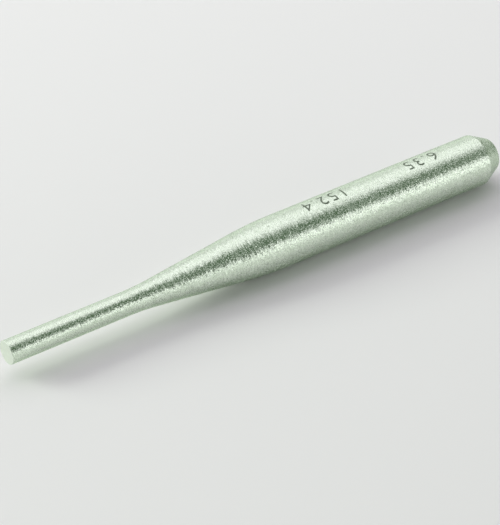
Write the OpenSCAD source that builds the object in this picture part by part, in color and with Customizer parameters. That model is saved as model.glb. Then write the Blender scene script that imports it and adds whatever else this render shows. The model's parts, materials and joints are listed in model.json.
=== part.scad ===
// Pin punch: one bar of metal, with a straight pin at one end and a tapered head at the other.
// It lies along X, with the tip face at the origin and the head towards +X.

/* [Pin] */
// Diameter of the straight pin that drives out another pin
pin_d = 6.35; // [4:0.05:8]
// Length of the pin, from its tip to the corner where the flare would start without its blend
pin_l = 38; // [25:0.5:50]
// Rounding of the edge round the tip face
tip_edge_r = 0.15; // [0.05:0.05:0.5]

/* [Flare] */
// Length of the flare from pin to shank, corner to corner
flare_l = 37; // [30:0.5:45]
// Radius of the hollow blend where the pin runs out into the flare
root_r = 78; // [20:1:110]
// Radius of the full blend where the flare runs out into the shank
shoulder_r = 118; // [20:1:150]

/* [Shank] */
// Diameter of the round shank that the hand holds
shank_d = 14.3; // [12:0.1:18]
// Length of the whole punch, from tip face to striking face
punch_l = 152.4; // [130:0.1:200]

/* [Head] */
// Length of the crown, the short taper under the striking face
crown_l = 5.2; // [2:0.1:10]
// Diameter of the striking face, measured to the crown's sharp corner
face_d = 9.1; // [6:0.1:11]
// Rounding of the edge where the shank turns into the crown
crown_edge_r = 0.8; // [0.1:0.1:2]
// Rounding of the edge round the striking face
face_edge_r = 0.4; // [0.1:0.05:1]

/* [Hidden] */

metal_colour = "#bfcbbc";

pin_r = pin_d / 2;
shank_r = shank_d / 2;
face_r = face_d / 2;

// Flats that make up a long blend, a rounded edge and one full turn
blend_flats = 16;
edge_flats = 5;
turn_flats = 120;

// Where the flare's two corners and the crown's corner lie along the punch
root_at = pin_l;
shoulder_at = pin_l + flare_l;
crown_at = punch_l - crown_l;

// Corners of the half outline, as distance from the axis and distance from the tip face,
// then the radius that rounds each one and the flats that its arc is made of
corners = [
    [[0, 0], 0, 0],
    [[pin_r, 0], tip_edge_r, edge_flats],
    [[pin_r, root_at], root_r, blend_flats],
    [[shank_r, shoulder_at], shoulder_r, blend_flats],
    [[shank_r, crown_at], crown_edge_r, edge_flats],
    [[face_r, punch_l], face_edge_r, edge_flats],
    [[0, punch_l], 0, 0],
];

function unit(v) = v / norm(v);

// Points of the arc that rounds a corner and runs tangent into both of its sides
function rounded_corner(before, corner, after, radius, flats) =
    let (
        back = unit(before - corner),
        on = unit(after - corner),
        half_angle = acos(back * on) / 2,
        centre = corner + unit(back + on) * radius / sin(half_angle),
        side = sign(cross(on, back)),
        start = corner + back * radius / tan(half_angle) - centre,
        sweep = side * (180 - 2 * half_angle)
    )
    [for (i = [0 : flats])
        let (turn = sweep * i / flats)
        centre + [
            start.x * cos(turn) - start.y * sin(turn),
            start.x * sin(turn) + start.y * cos(turn)
        ]
    ];

function half_outline() = [
    for (i = [0 : len(corners) - 1])
        let (corner = corners[i])
        if (corner[1] == 0) corner[0]
        else each rounded_corner(corners[i - 1][0], corner[0], corners[i + 1][0], corner[1], corner[2])
];

// The whole punch, turned from one outline: pin, flare, shank and crown
module punch() {
    color(metal_colour)
        rotate([0, 90, 0])
            rotate_extrude($fn = turn_flats)
                polygon(half_outline());
}

punch();
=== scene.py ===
import json
from math import cos, pi, radians, sin

import bpy
from mathutils import Matrix, Vector


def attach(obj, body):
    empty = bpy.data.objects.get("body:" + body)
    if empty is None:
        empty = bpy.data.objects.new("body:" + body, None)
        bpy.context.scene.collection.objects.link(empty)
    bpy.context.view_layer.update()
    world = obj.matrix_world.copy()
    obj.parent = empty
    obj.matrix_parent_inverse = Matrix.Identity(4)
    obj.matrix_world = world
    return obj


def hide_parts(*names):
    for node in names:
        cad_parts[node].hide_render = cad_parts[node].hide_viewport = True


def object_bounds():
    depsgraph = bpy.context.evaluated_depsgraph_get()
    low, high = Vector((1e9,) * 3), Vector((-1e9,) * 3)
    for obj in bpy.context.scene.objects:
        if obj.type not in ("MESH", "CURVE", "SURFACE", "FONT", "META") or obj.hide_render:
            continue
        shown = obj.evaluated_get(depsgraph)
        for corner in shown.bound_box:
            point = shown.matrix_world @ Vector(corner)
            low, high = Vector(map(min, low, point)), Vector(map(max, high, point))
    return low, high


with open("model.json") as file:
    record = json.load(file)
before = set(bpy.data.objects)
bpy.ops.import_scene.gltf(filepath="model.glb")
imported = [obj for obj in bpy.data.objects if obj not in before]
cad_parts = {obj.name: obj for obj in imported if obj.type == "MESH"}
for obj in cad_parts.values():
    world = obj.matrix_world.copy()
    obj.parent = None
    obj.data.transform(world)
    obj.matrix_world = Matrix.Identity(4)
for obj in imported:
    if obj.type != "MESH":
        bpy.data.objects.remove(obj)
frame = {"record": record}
cad_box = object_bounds()

# The punch. It is one bar of pale aluminium bronze, cast with a fine grain, then turned and ground
# to a straight pin, a long hollow flare and a crowned head. Nothing is fixed to it: the hammer
# meets the small face on the crown, and the punch's flat tip drives another pin out.

mm = 0.001

mounts = {mount["name"]: mount["dims"] for mount in frame["record"]["mounts"]}
shank_radius = mounts["shank_grip"]["r_mm"] * mm
pin_radius = mounts["drive_pin"]["r_mm"] * mm
punch_length = cad_box[1].x - cad_box[0].x
pin_length = 38 * mm
flare_length = 37 * mm
shoulder_at = pin_length + flare_length
crown_length = 5.2 * mm
crown_at = punch_length - crown_length

# The sizes that the tree which turns the bar is given, by the name of each input
punch_sizes = {
    "Pin Radius": pin_radius,
    "Pin Length": pin_length,
    "Shoulder At": shoulder_at,
    "Shank Radius": shank_radius,
    "Punch Length": punch_length,
    "Crown Length": crown_length,
    "Face Radius": 4.55 * mm,
    "Tip Edge Radius": 0.15 * mm,
    "Root Blend Radius": 78 * mm,
    "Shoulder Blend Radius": 118 * mm,
    "Crown Edge Radius": 0.8 * mm,
    "Face Edge Radius": 0.4 * mm,
    "Row Spacing": 0.6 * mm,
    "Fine Row Spacing": 0.115 * mm,
    "Head Figures At": 133.6 * mm,
    "Middle Figures At": 103.3 * mm,
    "Figures Length": 15 * mm,
    "Figure Height": 4.0 * mm,
    "Figure Spacing": 1.19,
    "Figure Depth": 0.22 * mm,
    "Figure Wall": 0.17 * mm,
    "Baseline Angle": radians(74.5),
    "Wave Size": 9 * mm,
    "Wave Depth": 0.03 * mm,
    "Ripple Size": 1.8 * mm,
    "Ripple Depth": 0.008 * mm,
}
punch_counts = {"Blend Flats": 16, "Edge Flats": 5, "Turn Steps": 192, "Seed": 7}

# Plain size figures struck into the shank, in millimetres: the pin's diameter and the bar's length
punch_figures = {"Head Figures": "6.35", "Middle Figures": "152.4"}

# The font of the figures, and how high they stand in it as a share of its size
plain_font = bpy.data.fonts.load("<builtin>")
cap_height_share = 0.729

# How much closer the steps round the bar lie at the figures, and how near two points are one
crowding_share = 0.5
weld = 0.001 * mm

# The noise of the skin's waves and ripples. A face that looks along the bar by more than the first
# share has weaker waves, and by more than the second none.
wave_detail = 1.0
wave_roughness = 0.4
ripple_roughness = 0.5
wavy_up_to, flat_from = 0.5, 0.95


class Graph:
    """Adds nodes to one tree. An input takes a plain value or another node's output."""

    def __init__(self, tree):
        self.tree = tree

    def feed(self, socket, value):
        if isinstance(value, bpy.types.NodeSocket):
            self.tree.links.new(value, socket)
        elif value is not None:
            socket.default_value = value

    def node(self, kind, *values, settings=None, named=None):
        made = self.tree.nodes.new(kind)
        for name, value in (settings or {}).items():
            setattr(made, name, value)
        for socket, value in zip(made.inputs, values):
            self.feed(socket, value)
        for identifier, value in (named or {}).items():
            self.feed(next(s for s in made.inputs if s.identifier == identifier), value)
        return made

    def add(self, kind, *values, settings=None, named=None):
        return self.node(kind, *values, settings=settings, named=named).outputs[0]

    def math(self, operation, *values):
        return self.add("ShaderNodeMath", *values, settings={"operation": operation})

    def vector(self, operation, *values):
        made = self.node("ShaderNodeVectorMath", *values, settings={"operation": operation})
        return made.outputs["Value" if operation in ("DISTANCE", "DOT_PRODUCT") else "Vector"]

    def combine(self, x=0.0, y=0.0, z=0.0):
        return self.add("ShaderNodeCombineXYZ", x, y, z)

    def split(self, value):
        return self.node("ShaderNodeSeparateXYZ", value).outputs

    def ramp(self, value, low, high, to_low=0.0, to_high=1.0):
        """Smooth step from to_low to to_high while the value goes from low to high."""
        settings = {"interpolation_type": "SMOOTHSTEP"}
        return self.add("ShaderNodeMapRange", value, low, high, to_low, to_high, settings=settings)

    def noise(self, place, size, detail=2.0, roughness=0.5, seed=0.0):
        """Smooth noise from 0 to 1 whose lumps are about size across."""
        scale = self.math("DIVIDE", 1.0, size) if isinstance(size, bpy.types.NodeSocket) else 1 / size
        named = {"Vector": place, "W": seed, "Scale": scale, "Detail": detail, "Roughness": roughness}
        return self.add("ShaderNodeTexNoise", settings={"noise_dimensions": "4D"}, named=named)


def new_bar_tree():
    tree = bpy.data.node_groups.new("turned_bar", "GeometryNodeTree")
    kinds = {"Geometry": "Geometry"}
    kinds.update({name: "Float" for name in punch_sizes})
    kinds.update({name: "Int" for name in punch_counts})
    kinds.update({name: "String" for name in punch_figures})
    kinds["Metal"] = "Material"
    for name, kind in kinds.items():
        tree.interface.new_socket(name, in_out="INPUT", socket_type="NodeSocket" + kind)
    tree.interface.new_socket("Geometry", in_out="OUTPUT", socket_type="NodeSocketGeometry")
    return tree


def by_index(graph, kind, picks):
    """Index Switch that gives each corner of the outline its own value."""
    made = graph.node("GeometryNodeIndexSwitch", settings={"data_type": kind})
    while len(made.index_switch_items) < len(picks):
        made.index_switch_items.new()
    graph.feed(made.inputs[0], graph.add("GeometryNodeInputIndex"))
    for number, pick in enumerate(picks):
        graph.feed(made.inputs[number + 1], pick)
    return made.outputs[0]


def half_outline(graph, size):
    """The bar's half outline as a curve, with X along the bar and Y out from its axis."""
    crown_at = graph.math("SUBTRACT", size["Punch Length"], size["Crown Length"])
    head_end = graph.math("SUBTRACT", size["Head Figures At"], size["Figures Length"])
    middle_end = graph.math("SUBTRACT", size["Middle Figures At"], size["Figures Length"])
    shank, edge, blend = size["Shank Radius"], size["Edge Flats"], size["Blend Flats"]
    sharp = (0.0, 1)
    corners = [
        (0.0, 0.0, *sharp),
        (0.0, size["Pin Radius"], size["Tip Edge Radius"], edge),
        (size["Pin Length"], size["Pin Radius"], size["Root Blend Radius"], blend),
        (size["Shoulder At"], shank, size["Shoulder Blend Radius"], blend),
        (middle_end, shank, *sharp),
        (size["Middle Figures At"], shank, *sharp),
        (head_end, shank, *sharp),
        (size["Head Figures At"], shank, *sharp),
        (crown_at, shank, size["Crown Edge Radius"], edge),
        (size["Punch Length"], size["Face Radius"], size["Face Edge Radius"], edge),
        (size["Punch Length"], 0.0, *sharp),
    ]
    places = [graph.combine(along, out) for along, out, _, _ in corners]
    line = graph.add("GeometryNodeMeshLine", len(corners))
    line = graph.add("GeometryNodeSetPosition", line, None, by_index(graph, "VECTOR", places))
    return graph.add(
        "GeometryNodeFilletCurve",
        graph.add("GeometryNodeMeshToCurve", line),
        by_index(graph, "INT", [corner[3] for corner in corners]),
        by_index(graph, "FLOAT", [corner[2] for corner in corners]),
        settings={"mode": "POLY"},
    )


def with_rows(graph, outline, size):
    """Cuts the outline's runs into rows, which lie closer together where the figures are struck."""
    place = graph.add("GeometryNodeInputPosition")
    following = graph.add(
        "GeometryNodeFieldAtIndex",
        named={"Value": place, "Index": graph.math("ADD", graph.add("GeometryNodeInputIndex"), 1)},
        settings={"data_type": "FLOAT_VECTOR"},
    )
    both = graph.vector("ADD", place, following)
    middle = graph.split(graph.vector("SCALE", both, None, None, 0.5))[0]
    within = []
    for start in (size["Head Figures At"], size["Middle Figures At"]):
        reach = graph.math("SUBTRACT", start, middle)
        inside = graph.math("MULTIPLY", graph.math("GREATER_THAN", reach, 0.0),
                            graph.math("LESS_THAN", reach, size["Figures Length"]))
        within.append(inside)
    fine = graph.math("MAXIMUM", *within)
    closer = graph.math("SUBTRACT", size["Row Spacing"], size["Fine Row Spacing"])
    spacing = graph.math("SUBTRACT", size["Row Spacing"], graph.math("MULTIPLY", fine, closer))
    run = graph.vector("DISTANCE", place, following)
    cuts = graph.math("SUBTRACT", graph.math("CEIL", graph.math("DIVIDE", run, spacing)), 1.0)
    return graph.add("GeometryNodeSubdivideCurve", outline, graph.math("MAXIMUM", cuts, 0.0))


def figure_plan(graph, size):
    """Both sets of figures, flat as on the shank's skin rolled out: their faces and their outlines.

    X runs from head to tip, and Y goes round the shank from the figures' baseline."""
    sets = []
    for name in punch_figures:
        letters = graph.node(
            "GeometryNodeStringToCurves",
            named={
                "String": size[name],
                "Size": graph.math("DIVIDE", size["Figure Height"], cap_height_share),
                "Character Spacing": size["Figure Spacing"],
            },
            settings={"font": plain_font, "align_x": "LEFT"},
        )
        start = graph.math("MULTIPLY", size[name + " At"], -1.0)
        sets.append(graph.add("GeometryNodeTransform", letters.outputs[0], graph.combine(start)))
    joined = graph.tree.nodes.new("GeometryNodeJoinGeometry")
    for part in sets:
        graph.tree.links.new(part, joined.inputs[0])
    flat = graph.add("GeometryNodeRealizeInstances", joined.outputs[0])
    return graph.add("GeometryNodeFillCurve", flat), graph.add("GeometryNodeCurveToMesh", flat)


def turned_skin(graph, outline, size):
    """The outline carried round the axis as a grid, with the figures sunk into it."""
    rows = graph.node("GeometryNodeAttributeDomainSize", outline, settings={"component": "CURVE"})
    steps = graph.math("ADD", size["Turn Steps"], 1)
    grid = graph.add("GeometryNodeMeshGrid", 1.0, 1.0, rows.outputs["Point Count"], steps)
    index = graph.add("GeometryNodeInputIndex")
    row = graph.math("FLOOR", graph.math("DIVIDE", graph.math("ADD", index, 0.5), steps))
    step = graph.math("SUBTRACT", index, graph.math("MULTIPLY", row, steps))

    # Steps round the bar are half as wide at the figures and half as wide again across from them
    share = graph.math("SUBTRACT", graph.math("DIVIDE", step, size["Turn Steps"]), 0.5)
    turn = graph.math("MULTIPLY", share, 2 * pi)
    crowding = graph.math("MULTIPLY", graph.math("SINE", turn), crowding_share)
    shank_width = graph.math("MULTIPLY", size["Shank Radius"], 2.0)
    half_height = graph.math("DIVIDE", size["Figure Height"], shank_width)
    middle_angle = graph.math("ADD", size["Baseline Angle"], half_height)
    from_middle = graph.math("SUBTRACT", turn, crowding)
    angle = graph.math("ADD", middle_angle, from_middle)

    along, out, _ = graph.split(graph.add(
        "GeometryNodeSampleIndex",
        named={"Geometry": outline, "Value": graph.add("GeometryNodeInputPosition"), "Index": row},
        settings={"data_type": "FLOAT_VECTOR"},
    ))
    from_baseline = graph.math("ADD", from_middle, half_height)
    round_skin = graph.math("MULTIPLY", size["Shank Radius"], from_baseline)
    on_skin = graph.combine(graph.math("MULTIPLY", along, -1.0), round_skin)
    faces, outlines = figure_plan(graph, size)
    apart = []
    for target, element in ((faces, "FACES"), (outlines, "EDGES")):
        near = graph.node(
            "GeometryNodeProximity",
            named={"Target": target, "Source Position": on_skin},
            settings={"target_element": element},
        )
        apart.append(near.outputs["Distance"])
    from_face, from_outline = apart
    groove = graph.ramp(from_outline, 0.0, size["Figure Wall"])
    struck = graph.math("MULTIPLY", groove, graph.math("LESS_THAN", from_face, weld))
    radius = graph.math("SUBTRACT", out, graph.math("MULTIPLY", struck, size["Figure Depth"]))
    skin = graph.add(
        "GeometryNodeStoreNamedAttribute",
        named={"Geometry": grid, "Name": "struck", "Value": struck},
        settings={"data_type": "FLOAT", "domain": "POINT"},
    )
    place = graph.combine(
        along,
        graph.math("MULTIPLY", radius, graph.math("COSINE", angle)),
        graph.math("MULTIPLY", radius, graph.math("SINE", angle)),
    )
    skin = graph.add("GeometryNodeSetPosition", skin, None, place)
    skin = graph.add("GeometryNodeFlipFaces", skin)
    return graph.add("GeometryNodeMergeByDistance", skin, None, weld)


def uneven(graph, skin, size):
    """Sinks the skin by a few hundredths of a millimetre, as casting and hand grinding leave it."""
    place = graph.add("GeometryNodeInputPosition")
    normal = graph.add("GeometryNodeInputNormal")
    waves = graph.noise(place, size["Wave Size"], wave_detail, wave_roughness, size["Seed"])
    ripples = graph.noise(place, size["Ripple Size"], wave_detail, ripple_roughness, size["Seed"])
    depth = graph.math("ADD", graph.math("MULTIPLY", waves, size["Wave Depth"]),
                       graph.math("MULTIPLY", ripples, size["Ripple Depth"]))
    towards_end = graph.math("ABSOLUTE", graph.split(normal)[0])
    depth = graph.math("MULTIPLY", depth, graph.ramp(towards_end, wavy_up_to, flat_from, 1.0, 0.0))
    inward = graph.vector("SCALE", normal, None, None, graph.math("MULTIPLY", depth, -1.0))
    return graph.add("GeometryNodeSetPosition", skin, None, None, inward)


bar_tree = new_bar_tree()
bar = Graph(bar_tree)
given = {socket.name: socket for socket in bar.node("NodeGroupInput").outputs}
skin = turned_skin(bar, with_rows(bar, half_outline(bar, given), given), given)
skin = uneven(bar, skin, given)
skin = bar.add("GeometryNodeSetShadeSmooth", skin)
skin = bar.add("GeometryNodeRealizeInstances", skin)
skin = bar.add("GeometryNodeSetMaterial", skin, None, given["Metal"])
bar.feed(bar_tree.nodes.new("NodeGroupOutput").inputs[0], skin)

# The metal's colour and finish: a pale, slightly green grey that the casting left with a fine
# grain of tiny facets and matte specks. Turning drew strokes round the flare, fainter on the pin
# and the shank. The end faces are ground dull. The crown is darkened with painted shade for the
# dimmer reflection it shows, and the sunk figures are darkened with painted shade.
metal_colour = (0.79, 0.88, 0.755, 1.0)
metal_shade = (0.59, 0.70, 0.545, 1.0)
metal_on_ends = (0.90, 0.965, 0.86, 1.0)
# Painted shade: the colour in the sunk figures is darkened almost to black.
painted_shade_in_figures = (0.24, 0.28, 0.22, 1.0)
metal_edge_tint = (0.77, 0.84, 0.75, 1.0)
# Painted shade: the crown's colour is darkened, standing in for the dimmer reflection it shows.
crown_painted_shade = (0.80, 0.82, 0.79, 1.0)
plain_tone = (1.0, 1.0, 1.0, 1.0)

# Facets and turning strokes tilt the skin. The strokes are full on the flare alone.
facet_size = 0.165 * mm
facet_tilt = 1.2
facet_stretch = (1.4, 0.65, 0.65)
stroke_width = 0.27 * mm
stroke_stretch = (1.0, 0.13, 0.13)
stroke_tilt = 0.18
strokes_on_pin = 0.25
strokes_on_shank = 0.3
pin_strokes_up_to = 20 * mm
full_strokes_from = 45 * mm
full_strokes_up_to = 62 * mm
shank_strokes_from = 95 * mm

# Soft clouds of shade, and a speck in each small cell of the skin, which is lighter or darker and
# may be matte. Each range is of the cloud's or the speck's own random value.
mottle_size = 2.5 * mm
mottle_detail = 3.0
mottle_roughness = 0.6
shade_range = (0.35, 0.75)
least_shade, most_shade = 0.3, 0.5
roughness_range = (0.3, 0.7)
least_roughness, most_roughness = 0.17, 0.22
speck_size = 0.24 * mm
speck_shade = 0.7
matte_range = (0.05, 0.45)
matte_metallic = 0.48

# The end faces and the figures have a finish of their own, and the crown and the figures are
# darkened with painted shade. A figure's walls are as dull as its bottom, and as dark with painted
# shade, from a share of its depth on.
end_roughness = 0.34
end_face_depth = 0.02 * mm
end_face_blur = 0.1 * mm
crown_edge_blur = 0.2 * mm
figure_roughness = 0.6
figure_painted_shade_share = 0.95
dull_from_depth = 0.3
dark_from_depth = 0.4


def facets(graph, place, size):
    """One random vector for each small cell of the skin, from -0.5 to 0.5 along each axis."""
    cells = graph.node("ShaderNodeTexVoronoi", named={"Vector": place, "Scale": 1 / size})
    return graph.vector("SUBTRACT", cells.outputs["Color"], (0.5, 0.5, 0.5))


def mixed(graph, share, first, second):
    made = graph.node(
        "ShaderNodeMix",
        settings={"data_type": "RGBA"},
        named={"Factor_Float": share, "A_Color": first, "B_Color": second},
    )
    return next(output for output in made.outputs if output.identifier == "Result_Color")


bronze = bpy.data.materials.new("aluminium_bronze")
bronze.use_nodes = True
bronze.node_tree.nodes.clear()
metal = Graph(bronze.node_tree)
skin_place = metal.node("ShaderNodeTexCoord").outputs["Object"]
skin_normal = metal.node("ShaderNodeNewGeometry").outputs["Normal"]
along = metal.split(skin_place)[0]

tip_face = metal.ramp(along, end_face_depth, end_face_blur, 1.0, 0.0)
striking_face = metal.ramp(along, punch_length - end_face_blur, punch_length - end_face_depth)
end_face = metal.math("MAXIMUM", tip_face, striking_face)
turned_pin = metal.ramp(along, pin_strokes_up_to, full_strokes_from, strokes_on_pin, 1.0)
turned_shank = metal.ramp(along, full_strokes_up_to, shank_strokes_from, 1.0, strokes_on_shank)
turned = metal.math("MULTIPLY", turned_shank, turned_pin)
crown = metal.ramp(along, crown_at - crown_edge_blur, crown_at + crown_edge_blur)
struck_in = metal.node("ShaderNodeAttribute", settings={"attribute_name": "struck"}).outputs["Fac"]

grain = facets(metal, skin_place, facet_size)
strokes = facets(metal, metal.vector("MULTIPLY", skin_place, stroke_stretch), stroke_width)
steepness = metal.math("MULTIPLY", metal.vector("DOT_PRODUCT", grain, grain), facet_tilt)
grain_tilt = metal.vector("SCALE", grain, None, None, steepness)
grain_tilt = metal.vector("MULTIPLY", grain_tilt, facet_stretch)
turning_tilt = metal.vector("SCALE", strokes, None, None, metal.math("MULTIPLY", turned, stroke_tilt))
tilted = metal.vector("ADD", skin_normal, metal.vector("ADD", grain_tilt, turning_tilt))
tilted = metal.vector("NORMALIZE", tilted)

mottle = metal.noise(skin_place, mottle_size, mottle_detail, mottle_roughness)
speck, matte, _ = metal.split(facets(metal, skin_place, speck_size))
shade = metal.ramp(mottle, *shade_range, least_shade, most_shade)
shade = metal.math("ADD", shade, metal.math("MULTIPLY", speck, speck_shade))
shade = metal.math("MAXIMUM", shade, 0.0)
colour = mixed(metal, shade, metal_colour, metal_shade)
# Painted shade on the crown, which darkens its colour where a dimmer reflection is seen.
colour = metal.vector("MULTIPLY", colour, mixed(metal, crown, plain_tone, crown_painted_shade))
colour = mixed(metal, end_face, colour, metal_on_ends)
# Painted shade in the sunk figures, growing from their rim to a share of their depth.
painted_figure_shade = metal.ramp(struck_in, 0.0, dark_from_depth, 0.0, figure_painted_shade_share)
colour = mixed(metal, painted_figure_shade, colour, painted_shade_in_figures)

bare = metal.ramp(matte, *matte_range, 1.0, matte_metallic)
dull = metal.ramp(mottle, *roughness_range, least_roughness, most_roughness)
dull = metal.math("MAXIMUM", dull, metal.math("MULTIPLY", end_face, end_roughness))
dulled = metal.ramp(struck_in, 0.0, dull_from_depth, 0.0, figure_roughness)
dull = metal.math("MAXIMUM", dull, dulled)

surface = metal.add(
    "ShaderNodeBsdfPrincipled",
    named={
        "Base Color": colour,
        "Metallic": bare,
        "Roughness": dull,
        "Specular Tint": metal_edge_tint,
        "Normal": tilted,
    },
)
metal.node("ShaderNodeOutputMaterial", surface)

blank = bpy.data.objects.new("blank", bpy.data.meshes.new("blank"))
bpy.context.scene.collection.objects.link(blank)
turning = blank.modifiers.new("turning", "NODES")
turning.node_group = bar_tree
for socket in bar_tree.interface.items_tree:
    if socket.in_out == "INPUT" and socket.name != "Geometry":
        value = {**punch_sizes, **punch_counts, **punch_figures, "Metal": bronze}[socket.name]
        turning[socket.identifier] = value
finished = blank.evaluated_get(bpy.context.evaluated_depsgraph_get())
punch = bpy.data.objects.new("pin_punch", bpy.data.meshes.new_from_object(finished))
bpy.context.scene.collection.objects.link(punch)
bpy.data.objects.remove(blank)

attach(punch, "root")
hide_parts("punch")

# The floor: a wide sheet of plain pale paper. The punch lies on it along the underside of its
# shank, with the pin held clear, so the floor is the shank's radius below the axis.

floor_colour = (0.81, 0.79, 0.81, 1.0)
floor_roughness = 0.9
floor_width = 4.0

paper = bpy.data.materials.new("floor_paper")
paper.use_nodes = True
paper_surface = paper.node_tree.nodes["Principled BSDF"]
paper_surface.inputs["Base Color"].default_value = floor_colour
paper_surface.inputs["Roughness"].default_value = floor_roughness
paper_surface.inputs["Specular IOR Level"].default_value = 0.0

floor_mesh = bpy.data.meshes.new("floor")
half = floor_width / 2
floor_mesh.from_pydata(
    [(x, y, -shank_radius) for x, y in ((-half, -half), (half, -half), (half, half), (-half, half))],
    [],
    [(0, 1, 2, 3)],
)
floor_mesh.materials.append(paper)
floor = bpy.data.objects.new("floor", floor_mesh)
bpy.context.scene.collection.objects.link(floor)

# The lamps: long soft boxes in front of, over and behind the punch draw a straight bright band each,
# and the gap with its dim boxes draws the dark one. A bright box farther behind, which the metal
# doesn't mirror, lights the floor and casts the shadow. The room is dim, with paler walls.

punch_middle = Vector((punch_length / 2, 0, 0))


def soft_box(name, around, width, radiance, length=3.0, distance=0.9, aside=0, shift=0,
             colour=(1.055, 1, 1.08), mirrored=True):
    """Hangs a lamp that faces the punch, with its long side along the bar.

    around is its angle round the bar's axis, from level in front, up and over to level behind.
    width is the angle it takes up that way, and aside its angle off towards the tip's side.
    shift moves it on along the bar, towards the head. The metal shows it where mirrored is set."""
    lamp = bpy.data.lights.new(name, "AREA")
    lamp.shape = "RECTANGLE"
    lamp.size = length
    lamp.size_y = 2 * distance * sin(radians(width) / 2)
    lamp.energy = radiance * pi * lamp.size * lamp.size_y
    lamp.color = colour
    level = cos(radians(aside))
    out = Vector((-sin(radians(aside)), -cos(radians(around)) * level, sin(radians(around)) * level))
    long_side = (Vector((1, 0, 0)) - out.x * out).normalized()
    box = bpy.data.objects.new(name, lamp)
    box.location = punch_middle + distance * out + Vector((shift, 0, 0))
    facing = Matrix((long_side, out.cross(long_side), out)).transposed()
    box.rotation_mode = "QUATERNION"
    box.rotation_quaternion = facing.to_quaternion()
    box.visible_glossy = mirrored
    bpy.context.scene.collection.objects.link(box)
    return lamp


# The front box is masked at its upper edge, which rises towards the head, and is dimmer towards
# the tip and near the floor. Places along it and heights are in metres from the punch's tip.
edge_rise = 0.42
lit_up_to, masked_from = 0.22, 0.34
tip_part_to, head_part_from = 0.1, 0.8
glow_at_tip, glow_at_head = 0.62, 1.07
low_part_to = 0.25
glow_at_floor = 0.8

front_lamp = soft_box("front_box", around=17, width=42, radiance=1.08, shift=0.45)
front_lamp.use_nodes = True
front = Graph(front_lamp.node_tree)
along_box, _, height = front.split(front.node("ShaderNodeNewGeometry").outputs["Position"])
over_edge = front.math("SUBTRACT", height, front.math("MULTIPLY", along_box, edge_rise))
mask = front.ramp(over_edge, lit_up_to, masked_from, 1.0, 0.0)
by_length = front.ramp(along_box, tip_part_to, head_part_from, glow_at_tip, glow_at_head)
by_height = front.ramp(height, 0.0, low_part_to, glow_at_floor, 1.0)
glow = front.math("MULTIPLY", front.math("MULTIPLY", mask, by_length), by_height)
front.feed(front_lamp.node_tree.nodes["Emission"].inputs["Strength"], glow)

# The top box grows brighter from its front edge to a place behind the punch, in metres from the axis
dark_up_to, bright_from = -0.42, 0.18

top_lamp = soft_box("top_box", around=102, width=100, radiance=1.07, shift=0.45)
top_lamp.use_nodes = True
top = Graph(top_lamp.node_tree)
towards_back = top.split(top.node("ShaderNodeNewGeometry").outputs["Position"])[1]
glow = top.ramp(towards_back, dark_up_to, bright_from)
top.feed(top_lamp.node_tree.nodes["Emission"].inputs["Strength"], glow)

soft_box("back_box", around=159, width=42, radiance=0.64)
soft_box("gap_box", around=58, width=44, radiance=0.04, colour=(0.5, 1.0, 0.45))
soft_box("head_gap_box", around=60, width=34, radiance=0.25, length=0.5, aside=-62)
soft_box("tip_gap_box", around=58, width=34, radiance=0.45, length=0.6, aside=25)
soft_box("floor_box", around=145, width=24, radiance=9.8, length=1.3, distance=2.4, aside=42,
         colour=(0.88, 1.0, 0.83), mirrored=False)

room_walls = (0.335, 0.385, 0.318, 1.0)
room_above = (0.07, 0.098, 0.066, 1.0)
walls_up_to, above_from = 0.15, 0.4

room = bpy.data.worlds.new("room")
room.use_nodes = True
sky = Graph(room.node_tree)
upward = sky.split(sky.node("ShaderNodeTexCoord").outputs["Generated"])[2]
shown = mixed(sky, sky.ramp(upward, walls_up_to, above_from), room_walls, room_above)
sky.feed(room.node_tree.nodes["Background"].inputs["Color"], shown)
bpy.context.scene.world = room

# The camera stands upright where the photograph was taken from, over half a metre away, and looks
# down on the punch from the tip's side.

photo_azimuth = radians(-35.5)
photo_elevation = radians(35.576)
photo_lens = 150.72
photo_place = Vector((-195.16, -374.75, 326.10)) * mm

camera_data = bpy.data.cameras.new("camera")
camera_data.lens = photo_lens
camera = bpy.data.objects.new("camera", camera_data)
backward = Vector((
    sin(photo_azimuth) * cos(photo_elevation),
    -cos(photo_azimuth) * cos(photo_elevation),
    sin(photo_elevation),
))
camera.location = photo_place
camera.rotation_mode = "QUATERNION"
camera.rotation_quaternion = (-backward).to_track_quat("-Z", "Y")
bpy.context.scene.collection.objects.link(camera)
bpy.context.scene.camera = camera

bpy.context.scene.view_settings.view_transform = "Standard"
